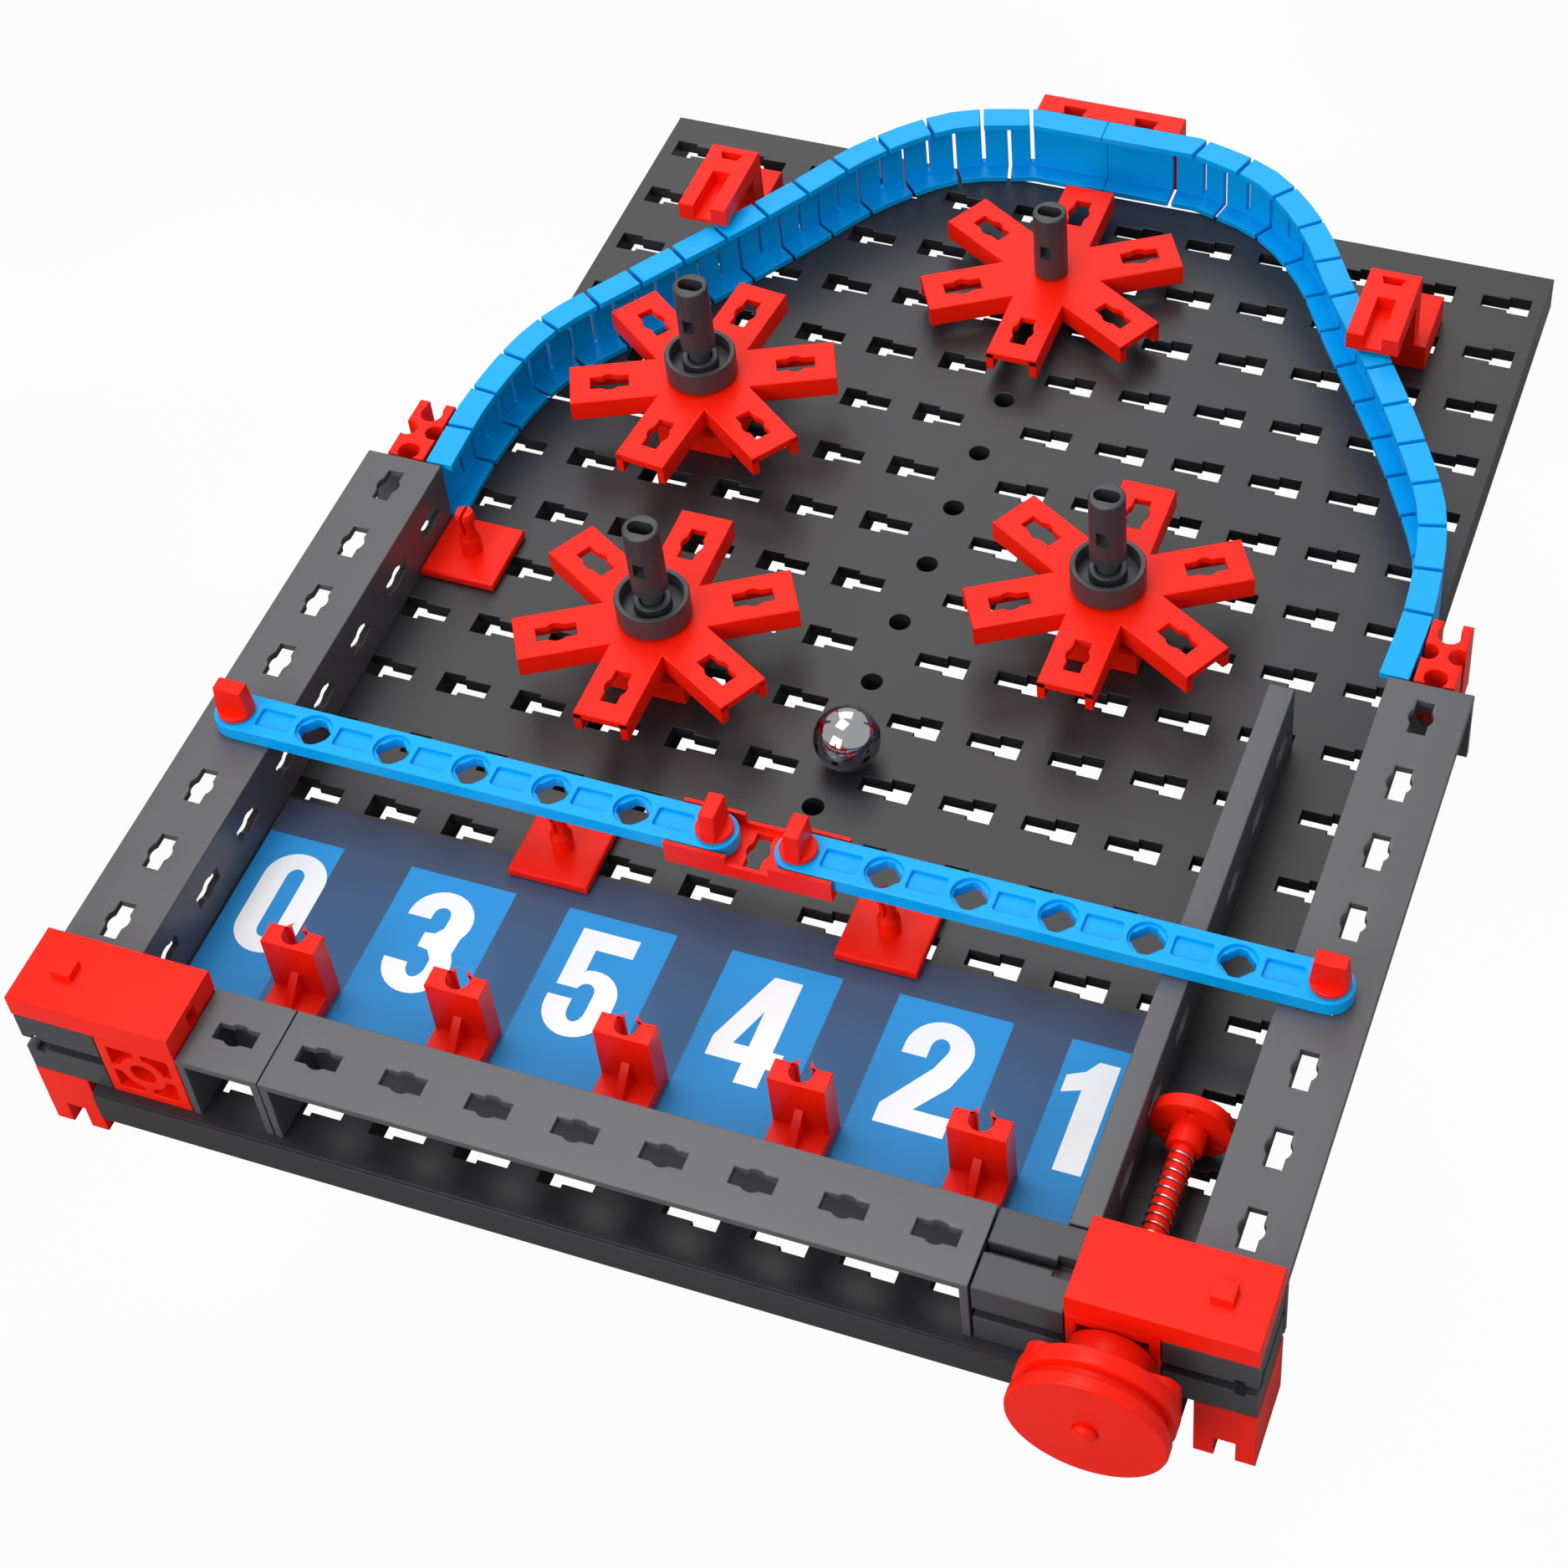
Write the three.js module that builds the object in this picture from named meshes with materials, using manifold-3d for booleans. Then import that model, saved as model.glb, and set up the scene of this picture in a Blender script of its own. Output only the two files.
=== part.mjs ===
// Tabletop marble game with four six-armed spinners, built from 15 mm grid construction pieces.
// Millimetres. X to the right, Y away from the player, Z up; the origin is the middle of the
// base plate's upper face.
import * as THREE from 'three';
import { mergeVertices } from 'three/addons/utils/BufferGeometryUtils.js';
import Module from 'manifold-3d';

const wasm = await Module();
wasm.setup();

// ---- driving dimensions ------------------------------------------------------------------
const grid = 15; // pitch of every hole, slot and block
const plate = {
  side: 93.2, front: -129.5, back: 129.6, ledge: 0.4, step: 0.4, sheet: 2.8, rim: 7.5, wall: 1.6,
};
const slot = { inner: 6.0, outer: 15.5, half: 2.1, columns: 6, rows: 8 };
const girder = { section: 15, wall: 1.5, inner: 90, front: -112.5 };
const keyhole = { length: 7.3, width: 3.0, round: 2.1 };
const star = { reach: 25.4, arm: 10.1, depth: 4.5, skin: 1.6, wall: 1.4, holeAt: 17.8, bore: 2.3 };
const shaft = { stub: 2.0, tube: 3.3, length: 15, bore: [1.5, 2.5], boreDepth: 10 };
const ring = { outer: 6.8, height: 5, recess: 3, inner: 3.4, lip: 1.1, bore: 2.2 };
const rail = { depth: 5.2, height: 15, web: 1.3, flange: 1.4, slit: 0.8, pitch: 5 };
const strut = { halfWidth: 4.1, thickness: 3, hole: 2.6, y: -60 };
const plunger = { x: 82.5, z: 7.5, rod: 2.0, disc: 6.9, knob: 12.8 };
const ballRadius = 6;

// Spinners: where each stands, how high its star's top lies and how far it is turned at rest.
const spinners = [
  { name: 'left', x: -37.5, y: -15, top: 14.2, turn: 0, raised: true },
  { name: 'upper', x: -52.5, y: 45, top: 14.2, turn: -6, raised: true },
  { name: 'right', x: 37.5, y: 15, top: 14.2, turn: 0, raised: true },
  { name: 'back', x: 0, y: 97.5, top: 7.2, turn: 0, raised: false },
];

// ---- materials ---------------------------------------------------------------------------
const plastic = (colour, roughness) =>
  new THREE.MeshStandardMaterial({ color: colour, roughness, metalness: 0 });
const red = () => plastic('#f0301c', 0.38);
const blue = () => plastic('#0a84e0', 0.38);
const darkGrey = () => plastic('#454449', 0.5);
const midGrey = () => plastic('#5c5b60', 0.5);
const black = () => plastic('#35373a', 0.45);
const card = () => plastic('#2c4f86', 0.7);
const steel = () => new THREE.MeshStandardMaterial({ color: '#d5d7da', roughness: 0.2, metalness: 1 });

// ---- solids ------------------------------------------------------------------------------
function solid(geometry) {
  const bare = geometry.clone();
  bare.deleteAttribute('normal');
  bare.deleteAttribute('uv');
  const merged = mergeVertices(bare, 1e-4);
  return new wasm.Manifold(new wasm.Mesh({
    numProp: 3,
    vertProperties: new Float32Array(merged.attributes.position.array),
    triVerts: new Uint32Array(merged.index.array),
  }));
}

function geometryOf(body) {
  const { vertProperties, triVerts } = body.getMesh();
  const geometry = new THREE.BufferGeometry();
  geometry.setAttribute('position', new THREE.BufferAttribute(vertProperties, 3));
  geometry.setIndex(new THREE.BufferAttribute(triVerts, 1));
  return geometry;
}

const join = (...bodies) => bodies.reduce((whole, next) => whole.add(next));
const cut = (body, ...tools) => tools.reduce((rest, tool) => rest.subtract(tool), body);

function block(x0, x1, y0, y1, z0, z1) {
  const box = new THREE.BoxGeometry(x1 - x0, y1 - y0, z1 - z0);
  return solid(box.translate((x0 + x1) / 2, (y0 + y1) / 2, (z0 + z1) / 2));
}

function extrude(shape, depth, curveSegments = 2) {
  return new THREE.ExtrudeGeometry(shape, { depth, bevelEnabled: false, curveSegments });
}

// A shape drawn in X and Y, standing from z0 to z1.
const upright = (shape, z0, z1, curveSegments) =>
  solid(extrude(shape, z1 - z0, curveSegments).translate(0, 0, z0));

// A shape drawn in Y and Z, running from x0 to x1.
const alongX = (shape, x0, x1, curveSegments) => solid(extrude(shape, x1 - x0, curveSegments)
  .applyMatrix4(new THREE.Matrix4().set(0, 0, 1, x0, 1, 0, 0, 0, 0, 1, 0, 0, 0, 0, 0, 1)));

// A shape drawn in X and Z, running from y0 to y1.
const alongY = (shape, y0, y1, curveSegments) =>
  solid(extrude(shape, y1 - y0, curveSegments).rotateX(Math.PI / 2).translate(0, y1, 0));

// A profile of [radius, height] points turned about Z through the point x, y.
function turned(profile, x = 0, y = 0, segments = 12) {
  const points = profile.map(([r, z]) => new THREE.Vector2(r, z));
  return solid(new THREE.LatheGeometry(points, segments).rotateX(Math.PI / 2).translate(x, y, 0));
}

// A profile of [radius, y] points turned about the plunger's axis.
function turnedOnPlunger(profile, segments = 16) {
  const points = profile.map(([r, y]) => new THREE.Vector2(r, y));
  return solid(new THREE.LatheGeometry(points, segments).translate(plunger.x, 0, plunger.z));
}

function polygon(points) {
  return new THREE.Shape(points.map(([u, v]) => new THREE.Vector2(u, v)));
}

const rectangle = (u0, u1, v0, v1) => polygon([[u0, v0], [u1, v0], [u1, v1], [u0, v1]]);

function circle(u, v, radius) {
  const shape = new THREE.Shape();
  shape.absarc(u, v, radius, 0, 2 * Math.PI, false);
  return shape;
}

// The kit's keyhole: a straight slot with a round widening in its middle, long along u.
function keyholeShape(u, v) {
  const { length, width, round } = keyhole;
  const half = width / 2;
  const lean = Math.asin(half / round);
  const shape = new THREE.Shape();
  shape.moveTo(u + length / 2, v - half);
  shape.lineTo(u + length / 2, v + half);
  shape.absarc(u, v, round, lean, Math.PI - lean, false);
  shape.lineTo(u - length / 2, v + half);
  shape.lineTo(u - length / 2, v - half);
  shape.absarc(u, v, round, Math.PI + lean, 2 * Math.PI - lean, false);
  return shape;
}

// A keyhole that is long along v instead.
const keyholeAcross = (u, v) =>
  new THREE.Shape(keyholeShape(0, 0).getPoints(2).map((p) => new THREE.Vector2(u - p.y, v + p.x)));

const game = new THREE.Group();

function add(name, body, material, parent = game) {
  const mesh = new THREE.Mesh(geometryOf(body), material);
  mesh.name = name;
  parent.add(mesh);
  return mesh;
}

// ---- base plate --------------------------------------------------------------------------
// A thin sheet with a deep rim, twelve columns of slots with a rib under the outer end of each,
// and a middle column of round holes drilled through a wide rib.
function basePlate() {
  const { side, front: y0, back: y1, ledge, step, sheet: thick, rim: deep, wall } = plate;
  const holes = [];
  for (let row = -slot.rows; row <= slot.rows; row += 1) {
    for (let column = 0; column < slot.columns; column += 1) {
      const [near, far] = [slot.inner + column * grid, slot.outer + column * grid];
      const [low, high] = [row * grid - slot.half, row * grid + slot.half];
      holes.push(block(near, far, low, high, -thick - 1, 1), block(-far, -near, low, high, -thick - 1, 1));
    }
  }
  for (let row = -slot.rows; row < slot.rows; row += 1) {
    holes.push(upright(circle(0, (row + 0.5) * grid, 2.05), -deep, 1, 3));
  }
  const sheet = block(-side, side, y0 + ledge, y1 - 0.1, -thick, 0);
  const rim = cut(block(-side, side, y0, y1, -deep, -step),
    block(-side + wall, side - wall, y0 + ledge + wall, y1 - wall, -deep - 1, 0));
  const across = [y0 + wall, y1 - 0.8, 1 - deep, 0.2 - thick];
  const ribs = [block(-3.2, 3.2, ...across)];
  for (let column = 0; column < slot.columns; column += 1) {
    const x = slot.outer + column * grid + 0.05;
    ribs.push(block(x, x + 1.1, ...across), block(-x - 1.1, -x, ...across));
  }
  return cut(join(sheet, rim, ...ribs), ...holes);
}
add('base_plate', basePlate(), darkGrey());

const cardEdge = { left: -89.7, right: 70.8, front: -112.2, back: -63, thickness: 0.3 };
add('number_card', block(cardEdge.left, cardEdge.right, cardEdge.front, cardEdge.back,
  0.02, cardEdge.thickness), card());

// ---- girders -----------------------------------------------------------------------------
// An angle girder lying along +Y from the origin: the upright web at X = 0, the top at Z = 15,
// an end plate with a pin hole at each end, and a keyhole in web and top on every 15 mm.
function angleGirder(length) {
  const { section, wall } = girder;
  const count = Math.round(length / grid);
  const long = length - 0.2;
  const angle = polygon([
    [0, 0], [wall, 0], [wall, section - wall], [section, section - wall], [section, section],
    [0, section],
  ]);
  const end = rectangle(0, section, 0, section);
  const pinHole = circle(section / 2, section / 2, 2.05);
  const profile = alongY(angle, 0, long);
  const ends = [alongY(end, 0, wall), alongY(end, long - wall, long)];
  const bore = alongY(pinHole, -1, length + 1, 5);
  const cuts = [];
  for (let n = 0; n < count; n += 1) {
    const at = (n + 0.5) * grid - 0.1;
    cuts.push(upright(keyholeAcross(section / 2, at), section - wall - 1, section + 1));
    cuts.push(alongX(keyholeShape(at, section / 2), -1, wall + 1));
  }
  return cut(join(profile, ...ends), bore, ...cuts);
}

function placeGirder(name, length, turn, x, y, material) {
  const mesh = add(name, angleGirder(length), material);
  mesh.rotation.z = turn;
  mesh.position.set(x, y, 0);
}
placeGirder('right_girder', 8 * grid, 0, girder.inner, girder.front + 0.1, midGrey());
placeGirder('left_girder', 8 * grid, Math.PI, -girder.inner, girder.front + 8 * grid - 0.1, midGrey());
placeGirder('front_girder', 8 * grid, -Math.PI / 2, -4 * grid + 0.1, girder.front, midGrey());
placeGirder('front_short_girder', grid, -Math.PI / 2, -5 * grid + 0.1, girder.front, midGrey());

// The lane's wall: a narrow girder with its slotted web facing the lane.
function laneDivider() {
  const [x0, x1] = [71.0, 75.6];
  const [y0, y1] = [girder.front + 0.15, 0];
  const section = polygon([[x0, 13.6], [x1 - 1.4, 13.6], [x1 - 1.4, 0], [x1, 0], [x1, 15], [x0, 15]]);
  const cuts = [];
  for (let y = -7.5; y > y0 + 4; y -= grid) {
    cuts.push(alongX(keyholeShape(y, 7.5), x1 - 3, x1 + 1));
  }
  const ends = [block(x0, x1, y0, y0 + 1.4, 0, 15), block(x0, x1, y1 - 1.4, y1, 0, 15)];
  return cut(join(alongY(section, y0, y1), ...ends), ...cuts);
}
add('lane_divider', laneDivider(), midGrey());

// ---- front corners -----------------------------------------------------------------------
const front = { y0: -127.5, y1: -112.7 };

// T-groove section: a narrow mouth and a wider foot, drawn with the mouth at v = 0.
const tGroove = [
  [-1.3, 1], [-1.3, -2], [-2.3, -2], [-2.3, -3.6], [2.3, -3.6], [2.3, -2], [1.3, -2], [1.3, 1],
];

// A 15 mm block with a T-groove running across its front face and round its outer side.
function grooveBlock(x0, x1, outerSide) {
  const z = 7.6;
  const frontGroove = alongX(
    polygon(tGroove.map(([u, v]) => [front.y0 - v, z + u])), x0 - 1, x1 + 1);
  const body = block(x0 + 0.1, x1 - 0.1, front.y0, front.y1, 0.05, 14.95);
  if (!outerSide) return cut(body, frontGroove);
  const face = outerSide > 0 ? x1 - 0.1 : x0 + 0.1;
  const sideGroove = alongY(
    polygon(tGroove.map(([u, v]) => [face + outerSide * v, z + u])),
    front.y0 - 1, front.y1 + 1);
  return cut(body, frontGroove, sideGroove);
}
add('left_corner_block', grooveBlock(-105, -90, -1), black());
add('right_corner_block', grooveBlock(90, 105, 1), black());

// The block beside the launcher also has a groove along its top, wider at its inner end.
function launcherBlock() {
  return cut(grooveBlock(60.2, 75, 0), block(59, 76, -120.9, -119.1, 12, 16),
    block(71.4, 76, -121.8, -118.2, 12, 16));
}
add('launcher_side_block', launcherBlock(), black());

// Red 15 mm block with a framed face: a round bore held by a cross of four webs.
function latticeBlock(x0) {
  const xc = x0 + grid / 2;
  const body = block(x0 + 0.1, x0 + grid - 0.1, front.y0, front.y1, 0.05, 14.95);
  const pockets = [];
  for (const [du, dv] of [[-1, -1], [-1, 1], [1, -1], [1, 1]]) {
    const pocket = polygon([
      [xc + du * 0.8, 7.5 + dv * 5.7], [xc + du * 0.8, 7.5 + dv * 3.9], [xc + du * 3.9, 7.5 + dv * 0.8],
      [xc + du * 5.7, 7.5 + dv * 0.8], [xc + du * 5.7, 7.5 + dv * 5.7],
    ]);
    pockets.push(alongY(pocket, front.y0 - 1, front.y0 + 5));
  }
  const bore = alongY(circle(xc, 7.5, plunger.rod + 0.25), front.y0 - 1, front.y1 + 1, 6);
  return cut(body, bore, ...pockets);
}
add('left_lattice_block', latticeBlock(-90), red());
add('launcher_guide', latticeBlock(75), red());

// Caps over the corners, each with a small square stud and a T-notch low in its inner end.
function cornerCap(side) {
  const [x0, x1] = side > 0 ? [75.1, 105] : [-105, -75.1];
  const body = block(x0, x1, front.y0, front.y1, 15.05, 20);
  const stud = block(side * 97.5 - 1.8, side * 97.5 + 1.8, -121.7, -118.3, 19.9, 21.6);
  const mouth = [side * 74, side * 76.7].sort((a, b) => a - b);
  const chamber = [side * 76.5, side * 78.3].sort((a, b) => a - b);
  return cut(join(body, stud), block(...mouth, -121.3, -118.7, 14, 18.6),
    block(...chamber, -122.2, -117.8, 14, 18.6));
}
add('left_corner_cap', cornerCap(-1), red());
add('right_corner_cap', cornerCap(1), red());

// Feet: a pair below the front corner blocks and one below the plate's middle rib at the back.
function foot(x0, x1, y0, y1, top) {
  const xc = (x0 + x1) / 2;
  return cut(block(x0, x1, y0, y1, -15, top), block(xc - 1.7, xc + 1.7, y0 - 1, y1 + 1, -16, -9.8));
}
add('front_left_foot', foot(-105, -95.1, front.y0, front.y1, -0.05), red());
add('front_right_foot', foot(95.1, 105, front.y0, front.y1, -0.05), red());
add('rear_foot', foot(-5, 5, 108, 123, -plate.rim + 0.9), black());

// ---- launcher ----------------------------------------------------------------------------
const faceY = -86.4;
const knobFace = -141.1;

// Rod and striking disc are one moulding; its rounded end shows in the middle of the knob.
function plungerRod() {
  const { rod, disc } = plunger;
  const body = turnedOnPlunger([
    [0, knobFace - 1.3], [1.5, knobFace - 1.1], [rod, knobFace - 0.5], [rod, -90.3], [2.8, -90.3],
    [2.8, faceY], [disc, faceY], [disc, faceY + 2.4], [0, faceY + 2.4],
  ], 16);
  const dimples = [];
  for (let n = 0; n < 3; n += 1) {
    const turn = (n * 2 * Math.PI) / 3 + Math.PI / 2;
    const hole = circle(plunger.x + 4.8 * Math.cos(turn), plunger.z + 4.8 * Math.sin(turn), 0.8);
    dimples.push(alongY(hole, faceY - 1, faceY + 0.9, 2));
  }
  return cut(body, ...dimples);
}

const sleeve = (inner, outer, y0, y1) =>
  turnedOnPlunger([[inner, y0], [outer, y0], [outer, y1], [inner, y1], [inner, y0]], 14);

// The grooved knob wheel.
function plungerKnob() {
  const { knob, rod } = plunger;
  const rear = knobFace + 7.1;
  return turnedOnPlunger([
    [rod + 0.1, knobFace], [knob - 0.5, knobFace], [knob, knobFace + 0.5], [knob, knobFace + 2.4],
    [knob - 1.6, knobFace + 2.7], [knob - 1.6, knobFace + 3.8], [knob, knobFace + 4.1],
    [knob, rear - 0.5], [knob - 0.5, rear], [rod + 0.1, rear], [rod + 0.1, knobFace],
  ], 20);
}

// The clamping nut behind the knob: a rounded cross plate and a round boss against the block.
function hubNut() {
  const { x, z, rod } = plunger;
  const [w, h, r] = [12, 5.2, 2.6];
  const outline = new THREE.Shape();
  outline.absarc(x + w - r, z + h - r, r, 0, Math.PI / 2, false);
  outline.absarc(x - w + r, z + h - r, r, Math.PI / 2, Math.PI, false);
  outline.absarc(x - w + r, z - h + r, r, Math.PI, 1.5 * Math.PI, false);
  outline.absarc(x + w - r, z - h + r, r, 1.5 * Math.PI, 2 * Math.PI, false);
  const boss = sleeve(0.9, 6.9, -131.6, front.y0 - 0.3);
  const bore = alongY(circle(x, z, rod + 0.1), -140, -120, 6);
  return cut(join(boss, alongY(outline, knobFace + 7.3, -131.4, 3)), bore);
}
add('plunger_rod', plungerRod(), red());
add('plunger_knob', plungerKnob(), red());
add('plunger_hub_nut', hubNut(), red());
add('plunger_spring', sleeve(plunger.rod + 0.15, plunger.rod + 0.65, front.y1 + 0.15, -90.5), steel());

// ---- spinners ----------------------------------------------------------------------------
// The star: six channel arms open below and at their ends, a keyhole in each, a boss at the middle.
function starOutline(reach, halfWidth) {
  const points = [];
  for (let n = 0; n < 6; n += 1) {
    const turn = (n * Math.PI) / 3 + Math.PI / 6;
    const [c, s] = [Math.cos(turn), Math.sin(turn)];
    points.push([c * reach + s * halfWidth, s * reach - c * halfWidth]);
    points.push([c * reach - s * halfWidth, s * reach + c * halfWidth]);
    const notch = turn + Math.PI / 6;
    points.push([2 * halfWidth * Math.cos(notch), 2 * halfWidth * Math.sin(notch)]);
  }
  return polygon(points);
}

function starBody() {
  const { reach, arm, depth, skin, wall, holeAt, bore } = star;
  const outer = upright(starOutline(reach, arm / 2), -depth, 0);
  const hollow = upright(starOutline(reach + 3, arm / 2 - wall), -depth - 1, -skin);
  const boss = upright(circle(0, 0, 4.6), -depth, -skin + 0.2, 6);
  const cuts = [upright(circle(0, 0, bore), -depth - 1, 1, 6)];
  for (let n = 0; n < 6; n += 1) {
    const turn = (n * Math.PI) / 3 + Math.PI / 6;
    const hole = extrude(keyholeShape(holeAt, 0), skin + 2).translate(0, 0, -skin - 1).rotateZ(turn);
    cuts.push(solid(hole));
  }
  return cut(join(cut(outer, hollow), boss), ...cuts);
}

// The fixed shaft: a thin stub through the star and a thick tube above it, with an oblong bore
// down from the top and a window through its side.
function shaftBody({ raised, top }) {
  const { stub, tube, length, bore, boreDepth } = shaft;
  const foot = raised ? [[0, top - star.depth - 0.1], [stub, top - star.depth - 0.1]] : [
    [0, -4], [1.7, -4], [1.7, 0.1], [3.4, 0.1], [3.4, top - star.depth - 0.2],
    [stub, top - star.depth - 0.2],
  ];
  const tubeStart = raised ? top + 7.3 : top + 0.3;
  const body = turned([
    ...foot, [stub, tubeStart], [tube, tubeStart], [tube, tubeStart + length], [0, tubeStart + length],
  ]);
  const oblong = new THREE.Shape();
  oblong.absarc(0, bore[1] - bore[0], bore[0], 0, Math.PI, false);
  oblong.absarc(0, bore[0] - bore[1], bore[0], Math.PI, 2 * Math.PI, false);
  const end = tubeStart + length;
  const windowMiddle = tubeStart + 7;
  return cut(body, upright(oblong, end - boreDepth, end + 1, 3),
    block(-1.1, 1.1, -5, 5, windowMiddle - 1.6, windowMiddle + 1.6));
}

function ringBody(bottom) {
  const { outer, height, recess, inner, lip, bore } = ring;
  const top = bottom + height;
  return turned([
    [bore, bottom], [outer - 0.3, bottom], [outer, bottom + 0.3], [outer, top], [outer - lip, top],
    [outer - lip, top - recess], [inner, top - recess], [inner, top - 0.8], [bore, top - 0.8],
    [bore, bottom],
  ], 0, 0, 16);
}

// A 15 mm tile with a round boss that carries the spinner.
function spinnerBase(top) {
  const tile = block(-7.45, 7.45, -7.45, 7.45, 0.05, 2.7);
  return join(tile, turned([[0, 2.5], [4.2, 2.5], [4.2, top - star.depth - 0.3], [0, top - star.depth - 0.3]]));
}

for (const spinner of spinners) {
  const stand = new THREE.Group();
  stand.position.set(spinner.x, spinner.y, 0);
  game.add(stand);
  const spun = add(`${spinner.name}_star`, starBody(), red(), stand);
  spun.position.z = spinner.top;
  spun.rotation.z = (spinner.turn * Math.PI) / 180;
  add(`${spinner.name}_shaft`, shaftBody(spinner), black(), stand);
  if (spinner.raised) {
    add(`${spinner.name}_ring`, ringBody(spinner.top + 0.3), black(), stand);
    add(`${spinner.name}_spinner_base`, spinnerBase(spinner.top), red(), stand);
  }
}

// ---- flexible rail -----------------------------------------------------------------------
// Two mouldings of C section meet at the back. Slits cut from above and from below in turn, every
// 5 mm, let each one bend. The inner edge of the flanges follows this curve.
const railStart = [[-88.1, 7.8], [-88.1, 27], [-84.2, 46.5], [-73.6, 63.5], [-62.4, 80],
  [-51.4, 97], [-41.4, 113], [-28.6, 125], [-14.5, 129.7]];
const railEnd = [[88.3, 7.8], [88.6, 26], [85.4, 46.5], [78, 62], [67, 80.5], [55.4, 98],
  [44.9, 114.6], [33.6, 125], [19.6, 129.7]];

function railSolid(points, side) {
  const { depth, height, web, flange, slit, pitch } = rail;
  const curve = new THREE.CatmullRomCurve3(
    points.map(([x, y]) => new THREE.Vector3(x, y, 0)), false, 'centripetal');
  const bend = curve.getLength();
  const steps = side > 0 ? 2 * Math.round(bend / pitch / 2) : 2 * Math.floor(bend / pitch / 2) + 1;
  const stations = [];
  for (let n = 0; n <= steps; n += 1) {
    const t = n / steps;
    const at = curve.getPointAt(t);
    const run = curve.getTangentAt(t);
    stations.push({ at, out: new THREE.Vector3(-run.y * side, run.x * side, 0), run });
  }
  const last = stations[steps];
  last.out.set(0, 1, 0);
  const meeting = new THREE.Vector3(side > 0 ? 0.25 : 0.35, last.at.y, 0);
  stations.push({ at: meeting, out: new THREE.Vector3(0, 1, 0), run: last.run });
  const section = [
    [0, 0.1], [depth, 0.1], [depth, height], [0, height], [0, height - flange],
    [depth - web, height - flange], [depth - web, flange], [0, flange],
  ];
  const positions = [];
  for (const { at, out } of stations) {
    for (const [n, z] of section) positions.push(at.x + out.x * n, at.y + out.y * n, z);
  }
  const faces = [];
  const corners = section.length;
  for (let s = 0; s + 1 < stations.length; s += 1) {
    for (let c = 0; c < corners; c += 1) {
      const [a, b] = [s * corners + c, s * corners + ((c + 1) % corners)];
      const [d, e] = [a + corners, b + corners];
      faces.push([a, b, d], [b, e, d]);
    }
  }
  const endCap = [[0, 1, 6], [0, 6, 7], [1, 2, 5], [1, 5, 6], [2, 3, 4], [2, 4, 5]];
  const lastBase = (stations.length - 1) * corners;
  for (const [a, b, c] of endCap) {
    faces.push([a, c, b], [lastBase + a, lastBase + b, lastBase + c]);
  }
  const index = faces.flatMap(([a, b, c]) => (side > 0 ? [a, b, c] : [a, c, b]));
  const geometry = new THREE.BufferGeometry();
  geometry.setAttribute('position', new THREE.BufferAttribute(new Float32Array(positions), 3));
  geometry.setIndex(index);
  let body = solid(geometry);
  for (let n = 2; n <= steps; n += 1) {
    const { at, run } = stations[n];
    const fromAbove = (steps - n) % 2 === 0;
    const [low, high] = fromAbove ? [2, height + 1] : [-1, height - 2.1];
    const tool = new THREE.BoxGeometry(slit, 16, high - low);
    tool.translate(0, 0, (low + high) / 2);
    tool.rotateZ(Math.atan2(run.y, run.x)).translate(at.x, at.y, 0);
    body = body.subtract(solid(tool));
  }
  return body;
}
add('left_rail', railSolid(railStart, 1), blue());
add('right_rail', cut(railSolid(railEnd, -1), block(14.1, 14.9, 120, 140, -1, 12.9)), blue());

// The red plate that joins the two rails behind the board, with two dovetail grooves.
function railJoiner() {
  const [y0, y1] = [135.1, 140];
  const dovetail = (x) => polygon([[x - 1.9, y0 - 1], [x + 1.9, y0 - 1], [x + 1.9, y0 + 0.6],
    [x + 2.5, y0 + 2.6], [x - 2.5, y0 + 2.6], [x - 1.9, y0 + 0.6]]);
  return cut(block(-15, 15, y0, y1, 0, 14.9), upright(dovetail(-7.5), -1, 16), upright(dovetail(7.5), -1, 16));
}
add('rail_joiner', railJoiner(), red());

// End blocks that hold the rails to the side girders: a fork at the back, round side notches and
// a half-open round notch against the girder.
function railEndBlock(side) {
  const [x0, x1] = side > 0 ? [94.2, 101.4] : [-101.3, -94.0];
  const [y0, y1] = [7.8, 22.5];
  const xc = (x0 + x1) / 2;
  const fork = join(upright(circle(xc, y1 - 2.9, 2.1), -1, 16, 4),
    block(xc - 1.7, xc + 1.7, y1 - 2.9, y1 + 1, -1, 16));
  return cut(block(x0, x1, y0, y1, 0.05, 15), fork, upright(circle(xc, y0 + 1.5, 2.05), -1, 16, 4),
    upright(circle(x0 + 0.9, y0 + 7.2, 1.8), -1, 16, 4),
    upright(circle(x1 - 0.9, y0 + 7.2, 1.8), -1, 16, 4));
}
add('left_rail_end_block', railEndBlock(-1), red());
add('right_rail_end_block', railEndBlock(1), red());

// Clamps: a foot on the plate, a post, and an arm with a slot that reaches over the rail.
function railClamp(armLeft, footLeft) {
  const [a0, a1] = [armLeft, armLeft + 10];
  const arm = block(a0, a1, 83, 101.7, 16, 20);
  const post = block(a0, a1, 97.7, 101.7, 5.8, 16.1);
  const base = block(footLeft, footLeft + 9.8, 97.5, 112.4, 0.05, 6);
  const armSlot = block(armLeft + 3.2, armLeft + 6.8, 82, 94, 17, 21);
  const notch = polygon([[armLeft + 2.6, 99.9], [armLeft + 3.4, 97.9], [armLeft + 6.6, 97.9],
    [armLeft + 7.4, 99.9]]);
  return cut(join(arm, post, base), armSlot, upright(notch, 18, 21));
}
add('left_rail_clamp', railClamp(-72.4, -72.7), red());
add('right_rail_clamp', railClamp(62.6, 65.2), red());

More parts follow.
